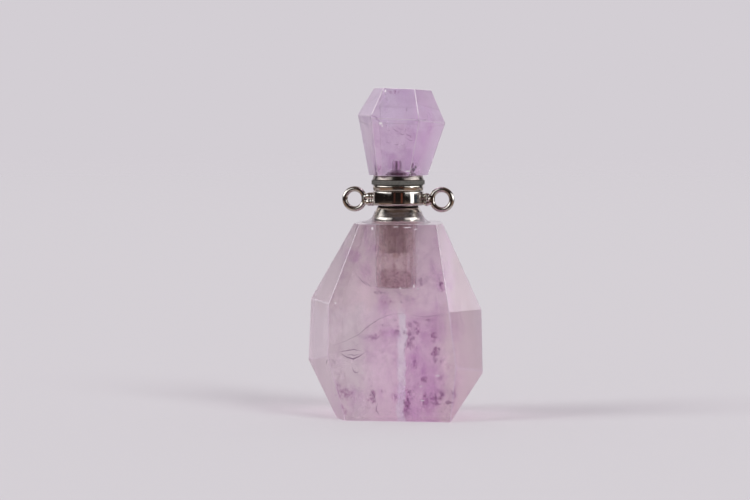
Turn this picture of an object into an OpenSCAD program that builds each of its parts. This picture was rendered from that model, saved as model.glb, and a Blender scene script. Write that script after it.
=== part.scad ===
// Bottle pendant: a faceted amethyst bottle with a steel neck, a loop collar
// and a screw stopper topped by a faceted stone. Millimetres. The origin is on
// the base under the neck's axis, +Z is up and -Y is the front.

/* [Body stone] */
// Width across the two side ridges
body_w = 20; // [16:0.5:26]
// Depth at the base, front face to back face
body_d = 11.6; // [10.5:0.1:15]
// Height from the base to the table that carries the neck
body_h = 22.1; // [18:0.1:30]
// Diameter of the drilled bore
bore_d = 4.9; // [4.6:0.05:5.6]
// Depth of the drilled bore below the table
bore_depth = 7.4; // [6:0.1:12]

/* [Neck fitting] */
// Outside diameter of the neck
neck_d = 5; // [4.8:0.05:5.6]
// Inside diameter of the neck
throat_d = 3.5; // [3:0.05:3.8]
// Height from the table to the top of the rim
neck_h = 4.3; // [3.8:0.05:6]
// Diameter of the rim
rim_d = 5.78; // [5.4:0.02:6.6]
// Height of the rim
rim_h = 0.7; // [0.5:0.02:1]
// Depth of the fine groove around the rim
rim_groove = 0.06; // [0.02:0.01:0.12]
// Diameter of the flared foot
flare_d = 6.04; // [5.7:0.02:7]
// Height of the flare above its edge
flare_h = 1.15; // [0.8:0.05:1.4]
// Height of the upright edge under the flare
flare_edge = 0.3; // [0.15:0.05:0.5]
// Outside diameter of the tube inside the bore
tube_d = 4.4; // [4:0.05:4.5]
// Length of the tube inside the bore
tube_len = 3.4; // [2:0.1:5]

/* [Glue fillet] */
// Diameter of the clear glue around the foot
glue_d = 7.9; // [7.2:0.1:8.6]
// Height of the glue up the flare
glue_h = 1.25; // [0.7:0.05:1.4]
// Sideways offset of the glue, as the drop ran
glue_shift = 0.22; // [0:0.02:0.4]

/* [Loop collar] */
// Outside diameter of the band
band_d = 5.94; // [5.7:0.02:6.6]
// Height of the band
band_h = 1.66; // [1.2:0.02:2]
// Turn of the collar about the neck
collar_turn = -5; // [-20:1:20]
// Diameter of the hole in each loop
loop_hole = 1.66; // [1.4:0.02:2.2]
// Thickness of the loop's wire
wire_d = 0.62; // [0.5:0.02:0.9]
// Length of the stem between the band and the loop's wire
stem_len = 0.96; // [0.7:0.02:1.4]
// Diameter of the stem
stem_d = 1.3; // [0.8:0.05:1.4]
// Height of the stem's middle above the band's lower edge
stem_rise = 0.68; // [0.6:0.02:0.9]

/* [Gasket] */
// Outside diameter of the gasket
gasket_d = 6.06; // [5.8:0.02:7]
// Thickness of the gasket
gasket_h = 0.5; // [0.3:0.05:0.8]

/* [Stopper fitting] */
// Diameter of the disc under the stopper stone
disc_d = 5.86; // [5.4:0.02:6.6]
// Thickness of the disc
disc_h = 0.57; // [0.4:0.01:0.9]
// Diameter of the stud that the stone is glued on
stud_d = 1.04; // [0.8:0.02:1.4]
// Height of the stud
stud_h = 1.9; // [1.2:0.1:2.6]
// Length of the plug below the disc
plug_len = 4.2; // [3:0.1:5]
// Diameter of the thin tip below the plug
tip_d = 1.08; // [0.8:0.02:1.4]
// Length of the thin tip
tip_len = 4.7; // [2:0.1:5]

/* [Stopper stone] */
// Width across the left and right corners of the girdle
cap_w = 10; // [8:0.1:13]
// Depth across the front and back faces of the girdle
cap_d = 8.7; // [7.5:0.1:11]
// Height of the stone
cap_h = 9.85; // [7:0.05:13]

/* [Fits] */
// Radial play of the plug in the neck and in the gasket
plug_play = 0.03; // [0.02:0.005:0.06]
// Radial gap between the collar and the neck
collar_gap = 0.02; // [0.01:0.005:0.05]
// Glue gap around the stud
stud_gap = 0.06; // [0.03:0.01:0.12]
// Gap between the glue and the flare
glue_gap = 0.02; // [0.01:0.005:0.05]
// Chamfer on the metal edges
chamfer = 0.07; // [0.03:0.01:0.12]

/* [Hidden] */
$fn = 96;

// Heights of the seats, from the base up
table_z = body_h;
rim_top = table_z + neck_h;
rim_foot = rim_top - rim_h;
band_top = rim_foot;
band_foot = band_top - band_h;
flare_foot = table_z + flare_edge;
flare_top = flare_foot + flare_h;
disc_foot = rim_top + gasket_h;
cap_foot = disc_foot + disc_h;
plug_foot = disc_foot - plug_len;
tip_foot = plug_foot - tip_len;

// Radii that pieces share
neck_r = neck_d / 2;
throat_r = throat_d / 2;
flare_r = flare_d / 2;
plug_r = throat_r - plug_play;
tip_r = tip_d / 2;

// Radius of the hollow curve of the flare, and of the glue
flare_curve = 3;
glue_curve = 2.4;
// How far a cut runs past the surface that it opens
overcut = 1;
// Least thickness of the glue's feather edge
glue_edge = 0.06;

// Corners of the body stone: across, front to back and up, as shares of
// body_w, body_d and body_h. The stone is cut by hand, so no side repeats.
table_fl = [-0.188, -0.405, 1];
table_fr = [0.246, -0.405, 1];
table_bl = [-0.185, 0.410, 1];
table_br = [0.190, 0.410, 1];
table_lf = [-0.2295, -0.277, 1];
table_lb = [-0.236, 0.250, 1];
table_rf = [0.276, -0.290, 1];
table_rb = [0.225, 0.280, 1];
shoulder_left = [-0.5025, 0, 0.602];
shoulder_right = [0.4775, 0, 0.556];
shoulder_fl = [-0.359, -0.445, 0.593];
shoulder_fr = [0.322, -0.449, 0.556];
shoulder_bl = [-0.330, 0.455, 0.570];
shoulder_br = [0.350, 0.455, 0.585];
belt_left = [-0.5175, 0, 0.284];
belt_rf = [0.492, -0.115, 0.232];
belt_rb = [0.470, 0.120, 0.240];
belt_fl = [-0.361, -0.472, 0.320];
belt_fr = [0.363, -0.474, 0.276];
belt_bl = [-0.350, 0.475, 0.300];
belt_br = [0.362, 0.475, 0.270];
foot_fl = [-0.262, -0.500, 0];
foot_fr = [0.334, -0.500, 0];
foot_bl = [-0.270, 0.500, 0];
foot_br = [0.290, 0.500, 0];
foot_lf = [-0.322, -0.330, 0];
foot_lb = [-0.330, 0.300, 0];
foot_rb = [0.255, 0.400, 0];

// Flats of the body stone, each through three corners
body_flats = [
  [table_fl, table_fr, table_bl],
  [foot_fl, foot_fr, foot_bl],
  [table_fl, table_fr, foot_fl],
  [table_bl, table_br, foot_bl],
  [table_fl, shoulder_fl, shoulder_left],
  [table_fr, shoulder_fr, shoulder_right],
  [table_bl, shoulder_bl, shoulder_left],
  [table_br, shoulder_br, shoulder_right],
  [table_lf, table_lb, shoulder_left],
  [table_rf, table_rb, shoulder_right],
  [shoulder_fl, shoulder_left, belt_left],
  [shoulder_fr, shoulder_right, belt_fr],
  [shoulder_bl, shoulder_left, belt_left],
  [shoulder_br, shoulder_right, belt_br],
  [shoulder_right, belt_rf, belt_rb],
  [belt_fl, belt_left, foot_fl],
  [belt_fr, belt_rf, foot_fr],
  [belt_bl, belt_left, foot_bl],
  [belt_br, belt_rb, foot_br],
  [belt_left, foot_lf, foot_lb],
  [belt_rf, foot_fr, foot_rb]
];

// Corners of the stopper stone, as shares of cap_w, cap_d and cap_h
top_left = [-0.276, 0, 1.002];
top_right = [0.380, 0, 0.976];
top_fl = [-0.129, -0.325, 1.005];
top_fr = [0.224, -0.325, 0.991];
top_bl = [-0.125, 0.325, 1];
top_br = [0.220, 0.325, 0.988];
girdle_left = [-0.463, 0, 0.698];
girdle_right = [0.540, 0, 0.597];
girdle_fl = [-0.247, -0.498, 0.658];
girdle_fr = [0.298, -0.498, 0.645];
girdle_bl = [-0.235, 0.498, 0.665];
girdle_br = [0.290, 0.498, 0.640];
sole_left = [-0.334, 0, 0];
sole_right = [0.342, 0, 0];
sole_fl = [-0.182, -0.336, 0];
sole_fr = [0.185, -0.336, 0];
sole_bl = [-0.170, 0.336, 0];

// Flats of the stopper stone: table and sole, six above the girdle, six below
cap_flats = [
  [top_left, top_fl, top_right],
  [sole_left, sole_fl, sole_fr],
  [top_fl, top_fr, girdle_fl],
  [top_left, top_fl, girdle_left],
  [top_fr, top_right, girdle_right],
  [top_bl, top_br, girdle_bl],
  [top_left, top_bl, girdle_left],
  [top_br, top_right, girdle_right],
  [girdle_fl, girdle_fr, sole_fl],
  [girdle_left, girdle_fl, sole_left],
  [girdle_fr, girdle_right, sole_right],
  [girdle_bl, girdle_br, sole_bl],
  [girdle_left, girdle_bl, sole_left],
  [girdle_br, girdle_right, sole_right]
];

// A corner at its real size
function sized(corner, size) = [corner[0] * size[0], corner[1] * size[1], corner[2] * size[2]];

// Unit normal of the plane through a, b and c, pointing away from the stone's heart
function outward(a, b, c, heart) =
  let (n = cross(b - a, c - a) / norm(cross(b - a, c - a)))
  n * (a - heart) < 0 ? -n : n;

// Centre of the circle of radius r through a and b, on the right of the way from a to b
function arc_centre(a, b, r) =
  let (chord = b - a, half = norm(chord) / 2, side = [chord[1], -chord[0]] / norm(chord))
  (a + b) / 2 + side * sqrt(r * r - half * half);

// All that lies behind the plane through three corners
module behind(a, b, c, heart, reach) {
  n = outward(a, b, c, heart);
  translate(a)
    rotate([0, -asin(n[2]), atan2(n[1], n[0])])
      translate([-reach, -reach / 2, -reach / 2])
        cube(reach);
}

// A stone ground flat by flat out of its rough
module ground_stone(flats, size) {
  heart = [0, 0, size[2] / 2];
  reach = 3 * max(size);
  intersection_for (f = flats)
    behind(sized(f[0], size), sized(f[1], size), sized(f[2], size), heart, reach);
}

// Half section of a turned disc from z0 to z1 with both outer edges chamfered
module chamfered_section(r, z0, z1, cut) {
  polygon([[0, z0], [r - cut, z0], [r, z0 + cut], [r, z1 - cut], [r - cut, z1], [0, z1]]);
}

// Half section of the flared foot, swollen by gap
module flare_section(gap) {
  low = [flare_r + gap, flare_foot];
  high = [neck_r + gap, flare_top];
  centre = arc_centre(low, high, flare_curve);
  difference() {
    polygon([[0, table_z], [flare_r + gap, table_z], low, high, [0, flare_top]]);
    translate(centre)
      circle(r = flare_curve);
  }
}

module body_stone() {
  color("#b9a0b6")
    difference() {
      ground_stone(body_flats, [body_w, body_d, body_h]);
      translate([0, 0, table_z - bore_depth])
        cylinder(h = bore_depth + overcut, d = bore_d);
    }
}

module neck_fitting() {
  groove_z = rim_foot + rim_h * 0.55;
  color("#c9c6c2")
    rotate_extrude()
      difference() {
        union() {
          translate([0, table_z - tube_len])
            square([tube_d / 2, tube_len + flare_edge]);
          flare_section(0);
          translate([0, flare_foot])
            square([neck_r, rim_foot - flare_foot + chamfer]);
          chamfered_section(rim_d / 2, rim_foot, rim_top, chamfer);
        }
        translate([0, table_z - tube_len - overcut])
          square([throat_r, neck_h + tube_len + 2 * overcut]);
        translate([rim_d / 2, groove_z])
          circle(r = rim_groove);
      }
}

module glue_fillet() {
  low = [glue_d / 2, table_z + glue_edge];
  high = [neck_r + (flare_r - neck_r) * 0.2, table_z + glue_h];
  centre = arc_centre(low, high, glue_curve);
  color("#d6cfd6")
    difference() {
      translate([-glue_shift, 0, 0])
        rotate_extrude()
          difference() {
            polygon([[0, table_z], [glue_d / 2, table_z], low, high, [0, table_z + glue_h]]);
            translate(centre)
              circle(r = glue_curve);
          }
      rotate_extrude()
        union() {
          flare_section(glue_gap);
          translate([0, table_z - overcut])
            square([flare_r + glue_gap, overcut + flare_edge]);
          translate([0, table_z])
            square([neck_r + glue_gap, neck_h]);
        }
    }
}

// One wire loop with its stem, on the band's +X side
module loop() {
  ring_r = (loop_hole + wire_d) / 2;
  ring_x = band_d / 2 + stem_len + ring_r;
  translate([0, 0, band_foot + stem_rise]) {
    translate([ring_x, 0, 0])
      rotate([90, 0, 0])
        rotate_extrude()
          translate([ring_r, 0])
            circle(d = wire_d);
    translate([neck_r + collar_gap + (band_d / 2 - neck_r) / 2, 0, 0])
      rotate([0, 90, 0])
        cylinder(h = ring_x - ring_r - neck_r - collar_gap - (band_d / 2 - neck_r) / 2, d = stem_d);
  }
}

module loop_collar() {
  color("#bdbab6")
    rotate([0, 0, collar_turn]) {
      rotate_extrude()
        difference() {
          chamfered_section(band_d / 2, band_foot, band_top, chamfer);
          translate([0, band_foot - overcut])
            square([neck_r + collar_gap, band_h + 2 * overcut]);
        }
      loop();
      mirror([1, 0, 0])
        loop();
    }
}

module gasket() {
  color("#605f5b")
    rotate_extrude()
      difference() {
        chamfered_section(gasket_d / 2, rim_top, disc_foot, chamfer / 2);
        translate([0, rim_top - overcut])
          square([plug_r + plug_play, gasket_h + 2 * overcut]);
      }
}

module stopper_fitting() {
  color("#c9c6c2")
    rotate_extrude()
      union() {
        chamfered_section(disc_d / 2, disc_foot, cap_foot, chamfer);
        translate([0, cap_foot - disc_h / 2])
          square([stud_d / 2, stud_h + disc_h / 2]);
        translate([0, plug_foot])
          square([plug_r, plug_len + disc_h / 2]);
        translate([0, tip_foot])
          square([tip_r, tip_len + plug_len / 2]);
      }
}

module stopper_stone() {
  color("#b69bb8")
    translate([0, 0, cap_foot])
      difference() {
        ground_stone(cap_flats, [cap_w, cap_d, cap_h]);
        translate([0, 0, -overcut])
          cylinder(h = stud_h + stud_gap + overcut, d = stud_d + 2 * stud_gap);
      }
}

body_stone();
neck_fitting();
glue_fillet();
loop_collar();
gasket();
stopper_fitting();
stopper_stone();
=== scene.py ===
"""The looks of a small amethyst bottle pendant: a faceted stone bottle with a steel neck and loop
collar, and a screw stopper that carries a faceted stone. Shapes are made in millimetres and handed
over in metres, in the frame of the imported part: +Z is up, -Y is the front."""

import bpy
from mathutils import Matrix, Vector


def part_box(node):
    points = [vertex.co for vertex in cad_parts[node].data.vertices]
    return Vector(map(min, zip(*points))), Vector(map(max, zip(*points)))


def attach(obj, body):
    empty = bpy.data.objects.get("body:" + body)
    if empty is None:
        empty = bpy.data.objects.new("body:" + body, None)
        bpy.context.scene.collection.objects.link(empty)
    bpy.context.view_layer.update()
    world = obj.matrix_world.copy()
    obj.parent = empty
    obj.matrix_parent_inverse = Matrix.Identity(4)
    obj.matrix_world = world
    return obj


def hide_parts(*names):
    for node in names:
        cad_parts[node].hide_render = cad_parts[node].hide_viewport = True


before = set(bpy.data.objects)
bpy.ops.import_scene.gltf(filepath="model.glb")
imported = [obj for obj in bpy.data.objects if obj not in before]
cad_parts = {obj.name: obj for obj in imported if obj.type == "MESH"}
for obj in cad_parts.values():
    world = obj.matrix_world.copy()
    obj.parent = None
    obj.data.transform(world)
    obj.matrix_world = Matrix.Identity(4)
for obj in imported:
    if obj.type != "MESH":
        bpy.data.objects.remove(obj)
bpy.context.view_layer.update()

import math
import random

import bmesh
import bpy
from mathutils import Matrix, Vector, noise

MM = 0.001
ORIGIN = Vector((0, 0, 0))
UP = Vector((0, 0, 1))


# Sizes

def box_mm(node):
    """Lowest and highest corner of a CAD node, in millimetres."""
    low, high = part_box(node)
    return low / MM, high / MM


NECK_LOW, NECK_HIGH = box_mm("neck_fitting")
GASKET_LOW, GASKET_HIGH = box_mm("gasket")
GLUE_LOW, GLUE_HIGH = box_mm("glue_fillet")
FITTING_LOW, FITTING_HIGH = box_mm("stopper_fitting")

# Heights that follow from the boxes
TABLE_Z = box_mm("body_stone")[1].z
RIM_TOP = NECK_HIGH.z
DISC_FOOT = GASKET_HIGH.z
CAP_FOOT = box_mm("stopper_stone")[0].z

# Turned sizes that the boxes don't give, as the part's source has them
BORE_R = 2.45
BORE_FOOT = TABLE_Z - 7.4
NECK_R = 2.5
THROAT_R = 1.75
TUBE_R = 2.2
RIM_R = 2.89
RIM_H = 0.7
FLARE_R = 3.02
BAND_R = 2.97
BAND_H = 1.66
COLLAR_GAP = 0.02
COLLAR_TURN = math.radians(-5)
WIRE_R = 0.31
LOOP_R = 1.14
STEM_LEN = 0.96
STEM_RISE = 0.68
DISC_R = 2.93
STUD_R = 0.52
PLUG_R = 1.72
PLUG_LEN = 4.2
TIP_R = 0.54
STUD_HOLE_R = 0.58
STUD_HOLE_TOP = CAP_FOOT + 1.96

# Small forms that only the looks have: the dome at the stud hole's mouth, the rounding of the ridges, the
# thread, and how far the milky core of a stone stays under its skin
HOLE_MOUTH_R = 1.5
HOLE_MOUTH_H = 0.7
RIDGE_R = 0.05
THREAD_PITCH = 0.5
THREAD_DEPTH = 0.2
CORE_GAP = 0.03

QUARTZ_IOR = 1.544


# Small helpers for shapes

def arc(a, b, radius, steps=8):
    """Points from a to b, in (radius, height), along a circle. A positive radius has its centre to the
    right of the way from a to b, so going up it is a hollow curve, and a negative one to the left."""
    a, b = Vector(a), Vector(b)
    chord = b - a
    side = Vector((chord.y, -chord.x)).normalized() * math.copysign(1, radius)
    centre = (a + b) / 2 + side * math.sqrt(radius ** 2 - (chord.length / 2) ** 2)
    start, stop = a - centre, b - centre
    turn = start.angle_signed(stop)
    points = []
    for i in range(steps + 1):
        spoke = Matrix.Rotation(-turn * i / steps, 2) @ start
        points.append(tuple(centre + spoke))
    return points


def closed_up(form):
    """The form with its points stuck together where they meet and its normals turned outward."""
    bmesh.ops.remove_doubles(form, verts=form.verts, dist=0.0005)
    bmesh.ops.recalc_face_normals(form, faces=form.faces)
    return form


def bridge(form, rows):
    """Faces from each ring of points to the next."""
    for one, two in zip(rows, rows[1:]):
        for i in range(len(one)):
            j = (i + 1) % len(one)
            form.faces.new([one[i], one[j], two[j], two[i]])


def turned(profile, closed=True, steps=144):
    """A form turned about the Z axis from a half section of (radius, height) points."""
    form = bmesh.new()
    points = [form.verts.new((radius, 0, height)) for radius, height in profile]
    ends = points[1:] + points[:1] if closed else points[1:]
    lines = [form.edges.new(pair) for pair in zip(points, ends)]
    bmesh.ops.spin(form, geom=points + lines, cent=ORIGIN, axis=UP, angle=math.tau, steps=steps,
                   use_merge=True)
    return closed_up(form)


def round_edges(form, width, least=20, segments=3, finish=-1):
    """Rounds the edges whose faces meet at more than least degrees, in the finish of that number."""
    least = math.radians(least)
    sharp = [e for e in form.edges if e.is_manifold and e.calc_face_angle() > least]
    bmesh.ops.bevel(form, geom=sharp, offset=width, offset_type="OFFSET", segments=segments, profile=0.5,
                    affect="EDGES", clamp_overlap=True, material=finish)
    return form


def mesh_of(form, name="scratch"):
    """A new mesh that takes the form over."""
    mesh = bpy.data.meshes.new(name)
    form.to_mesh(mesh)
    form.free()
    return mesh


def linked(name, data):
    """A new object in the scene."""
    made = bpy.data.objects.new(name, data)
    bpy.context.scene.collection.objects.link(made)
    return made


def joined(*forms):
    """One form that holds all the given ones."""
    whole = bmesh.new()
    for form in forms:
        scratch = mesh_of(form)
        whole.from_mesh(scratch)
        bpy.data.meshes.remove(scratch)
    return whole


def through_modifier(form, kind, cutter=None, **settings):
    """The form after one modifier, such as a Boolean with the cutter or a Remesh."""
    objects = []
    for part in filter(None, (form, cutter)):
        mesh = mesh_of(part)
        for _ in range(3):
            mesh.materials.append(None)
        objects.append(linked("scratch", mesh))
    modifier = objects[0].modifiers.new("change", kind)
    for name, value in settings.items():
        setattr(modifier, name, value)
    if cutter:
        modifier.object = objects[1]
    seen = objects[0].evaluated_get(bpy.context.evaluated_depsgraph_get())
    changed = bmesh.new()
    changed.from_mesh(seen.to_mesh())
    seen.to_mesh_clear()
    for made in objects:
        mesh = made.data
        bpy.data.objects.remove(made)
        bpy.data.meshes.remove(mesh)
    return changed


def piece(form, name, body, slot, *finishes, nodes=(), smooth=True):
    """Makes the form a piece of the scene that rides on a body and stands for the given CAD nodes."""
    form.transform(Matrix.Scale(MM, 4))
    mesh = mesh_of(form, name)
    for finish in finishes:
        mesh.materials.append(finish)
    mesh.polygons.foreach_set("use_smooth", [smooth] * len(mesh.polygons))
    made = linked(name, mesh)
    if smooth:
        normals = made.modifiers.new("even_shading", "WEIGHTED_NORMAL")
        normals.weight = 100
    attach(made, body)
    if nodes:
        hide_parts(*nodes)
    return made


# Small helpers for materials

def srgb(text, alpha=1.0):
    """A hex colour such as d3ced4, as it looks on a screen, as linear RGBA."""
    parts = [int(text[i:i + 2], 16) / 255 for i in (0, 2, 4)]
    linear = [c / 12.92 if c <= 0.04045 else ((c + 0.055) / 1.055) ** 2.4 for c in parts]
    return (*linear, alpha)


def add(tree, kind, inputs=None, **settings):
    """Adds a node. settings are its own fields; inputs go to its sockets, as values or as links."""
    node = tree.nodes.new("ShaderNode" + kind)
    for name, value in settings.items():
        setattr(node, name, value)
    for name, value in (inputs or {}).items():
        if isinstance(value, bpy.types.NodeSocket):
            tree.links.new(value, node.inputs[name])
        else:
            node.inputs[name].default_value = value
    return node


def new_material(name):
    """An empty material, its node tree and its output node."""
    made = bpy.data.materials.new(name)
    made.use_nodes = True
    made.node_tree.nodes.clear()
    return made, made.node_tree, add(made.node_tree, "OutputMaterial")


def finished(made, output, shader, socket="Surface"):
    """The material with the shader on that socket of its output."""
    made.node_tree.links.new(shader.outputs[0], output.inputs[socket])
    return made


def millimetres(tree):
    """The place on the object, in millimetres, as a vector socket."""
    place = add(tree, "TexCoord").outputs["Object"]
    return add(tree, "VectorMath", {0: place, "Scale": 1 / MM}, operation="SCALE").outputs[0]


def axes_of(tree, place):
    """X, Y and Z of a place, as sockets."""
    return add(tree, "SeparateXYZ", {0: place}).outputs


def maths(tree, operation, *values, **settings):
    """A sum over numbers and sockets, as a socket."""
    return add(tree, "Math", dict(enumerate(values)), operation=operation, **settings).outputs[0]


def remap(tree, value, low, high, to_low=0.0, to_high=1.0, **settings):
    """The value with low and high taken to to_low and to_high, and held between them."""
    return add(tree, "MapRange", {"Value": value, "From Min": low, "From Max": high,
                                  "To Min": to_low, "To Max": to_high}, **settings).outputs[0]


def mixed(tree, share, below, above, blend="MIX"):
    """The colour above, laid over the colour below by a share from 0 to 1."""
    return add(tree, "Mix", {0: share, 6: below, 7: above}, data_type="RGBA", blend_type=blend).outputs[2]


def noise_over(tree, place, scale, detail, roughness=0.5, distortion=0.0):
    """Noise over the place, as a socket. scale is about how many bumps there are to a millimetre."""
    return add(tree, "TexNoise", {"Vector": place, "Scale": scale, "Detail": detail,
                                  "Roughness": roughness, "Distortion": distortion}).outputs["Fac"]


def bump(tree, height, strength, distance):
    """The normal of a surface with the height worked into it. distance is in metres."""
    return add(tree, "Bump", {"Height": height, "Strength": strength, "Distance": distance}).outputs["Normal"]


def ramp(tree, value, *stops):
    """A colour ramp over value. Each stop is a place from 0 to 1 and a hex colour."""
    node = add(tree, "ValToRGB", {"Fac": value})
    band = node.color_ramp
    for place, colour in stops[2:]:
        band.elements.new(place)
    for element, (place, colour) in zip(band.elements, sorted(stops)):
        element.position, element.color = place, srgb(colour)
    return node.outputs["Color"]


# Materials

def across(tree, sideways, colours):
    """Colours in upright growth bands. Each is a place along X, in mm, and a colour."""
    share = remap(tree, sideways, -10.0, 10.0)
    return ramp(tree, share, *[((x + 10) / 20, colour) for x, colour in colours])


def patches(tree, place, spots):
    """1 inside soft patches at the front of a stone and 0 outside. A patch is (x, z), width and height."""
    total = 0.0
    for x, z, wide, tall in spots:
        shift = add(tree, "VectorMath", {0: place, 1: (x, 0, z)}, operation="SUBTRACT").outputs[0]
        share = add(tree, "VectorMath", {0: shift, 1: (1.7 / wide, 0, 1.7 / tall)}, operation="MULTIPLY")
        away = add(tree, "VectorMath", {0: share.outputs[0]}, operation="LENGTH").outputs["Value"]
        total = maths(tree, "MAXIMUM", remap(tree, away, 1.0, 0.35), total)
    return total


def behind_front(tree, axes, planes):
    """How far a place lies behind the front facets, in mm, as a socket."""
    nearest = -99.0
    for base, sideways, upward in planes:
        plane = maths(tree, "MULTIPLY_ADD", axes["X"], sideways, base)
        plane = maths(tree, "MULTIPLY_ADD", axes["Z"], upward, plane)
        nearest = maths(tree, "MAXIMUM", plane, nearest)
    return maths(tree, "SUBTRACT", axes["Y"], nearest)


def amethyst(name, lower, upper, change, far, spots, glint_spots, planes):
    # Amethyst, cut and polished by hand. It bends light as quartz does. Its colour grew in upright bands
    # (lower and upper, below and above the height change) behind the front facets and is even at the back
    # (far). Over them lie a cottony mottle, hair lines of healed cracks and dark grains in spots. White,
    # less clear spots at chipped places are painted glints, standing in for the light that they catch.
    made, tree, output = new_material(name)
    place = millimetres(tree)
    axes = axes_of(tree, place)
    ragged = noise_over(tree, place, 0.5, 5.0, roughness=0.65)
    drift = remap(tree, ragged, 0.0, 1.0, -1.0, 1.0)
    sideways = maths(tree, "MULTIPLY_ADD", drift, 0.6, axes["X"])
    upward = maths(tree, "MULTIPLY_ADD", drift, 3.0, axes["Z"])
    high = remap(tree, upward, change - 0.8, change + 0.8)
    back = remap(tree, axes["Y"], -2.0, 1.0)
    front = remap(tree, behind_front(tree, axes, planes), 0.3, 0.1)
    bands = mixed(tree, high, across(tree, sideways, lower), across(tree, sideways, upper))
    colour = mixed(tree, back, bands, srgb(far))

    fine = noise_over(tree, place, 1.1, 4.0, roughness=0.6)
    mottle = ramp(tree, fine, (0.34, "e4d7e6"), (0.5, "f6f0f6"), (0.64, "ffffff"))
    bent = noise_over(tree, place, 0.42, 4.0, distortion=1.2)
    hairs = ramp(tree, bent, (0.49, "ffffff"), (0.5, "f0e6f2"), (0.51, "ffffff"))
    cloudy = remap(tree, noise_over(tree, place, 0.22, 2.0), 0.42, 0.62, 0.3, 1.0)
    facing = maths(tree, "MAXIMUM", front, remap(tree, axes["Y"], 2.6, 4.0, 0.15, 0.6))
    cloudy = maths(tree, "MULTIPLY", cloudy, facing)
    upright = add(tree, "Mapping", {"Vector": place, "Scale": (1.0, 1.0, 0.6)}).outputs[0]
    grit = noise_over(tree, upright, 3.4, 5.0, roughness=0.8)
    torn = remap(tree, ragged, 0.35, 0.6, 0.35, 1.15)
    spotted = maths(tree, "MULTIPLY", patches(tree, place, spots), front)
    spotted = maths(tree, "MULTIPLY", spotted, torn)
    darkening = maths(tree, "MULTIPLY_ADD", spotted, -0.27, maths(tree, "ADD", grit, 0.16))
    grains = ramp(tree, darkening, (0.28, "b08cac"), (0.34, "d0b4cc"), (0.42, "f0e4ee"), (0.47, "ffffff"))
    for amount, layer in ((cloudy, mottle), (cloudy, hairs), (1.0, grains)):
        colour = mixed(tree, amount, colour, layer, "MULTIPLY")

    # Painted glints: white, less clear spots on the front facets at chipped places, where light would glint.
    painted_glints = maths(tree, "MULTIPLY", patches(tree, place, glint_spots), front)
    painted_glints = remap(tree, maths(tree, "MULTIPLY", painted_glints, grit), 0.08, 0.25)
    colour = mixed(tree, painted_glints, colour, srgb("f2ebf0"))
    clear = maths(tree, "MULTIPLY_ADD", painted_glints, -0.8, 1.0)

    wave = bump(tree, noise_over(tree, place, 0.35, 2.0), 0.02, 0.0004)
    glass = add(tree, "BsdfPrincipled", {
        "Base Color": colour, "Roughness": 0.03, "IOR": QUARTZ_IOR, "Transmission Weight": clear,
        "Normal": wave})
    path = add(tree, "LightPath")
    lamp = add(tree, "BsdfTransparent", {"Color": srgb("d2c3cd")})
    skin = add(tree, "MixShader", {0: path.outputs["Is Shadow Ray"], 1: glass.outputs[0], 2: lamp.outputs[0]})
    absorb = add(tree, "VolumeAbsorption", {"Color": srgb("c2bfb8"), "Density": 26.0})
    finished(made, output, skin)
    return finished(made, output, absorb, "Volume")


def worn_and_highlit_amethyst(name, low, high, change):
    # The ridges between the facets, whitened by the share low, and by the share high above the height change:
    # partly real frosting from polishing and wear, partly painted highlight for the light their edges catch.
    made, tree, output = new_material(name)
    place = millimetres(tree)
    spread = remap(tree, noise_over(tree, place, 1.2, 4.0), 0.3, 0.55, 0.4, 1.0)
    share = remap(tree, axes_of(tree, place)["Z"], change - 0.1, change + 0.1, low, high)
    # The whitened share: partly wear, partly painted highlight.
    wear_and_highlight = maths(tree, "MULTIPLY", share, spread)
    clear = maths(tree, "SUBTRACT", 1.0, wear_and_highlight)
    colour = ramp(tree, wear_and_highlight, (0.0, "d3c4d2"), (0.3, "f6eff4"))
    ridge = add(tree, "BsdfPrincipled", {
        "Base Color": colour, "Roughness": 0.12, "IOR": QUARTZ_IOR, "Transmission Weight": clear})
    return finished(made, output, ridge)


def milk(name, colour, density):
    # The finest veils and liquid drops in milky quartz, too small to see one by one: they scatter light.
    made, tree, output = new_material(name)
    scatter = add(tree, "VolumeScatter", {"Color": srgb(colour), "Density": density, "Anisotropy": 0.3})
    return finished(made, output, scatter, "Volume")


def grown_colour(name, colour, density):
    # A zone of stronger colour that grew inside the amethyst: it only takes light away.
    made, tree, output = new_material(name)
    absorb = add(tree, "VolumeAbsorption", {"Color": srgb(colour), "Density": density})
    return finished(made, output, absorb, "Volume")


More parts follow.
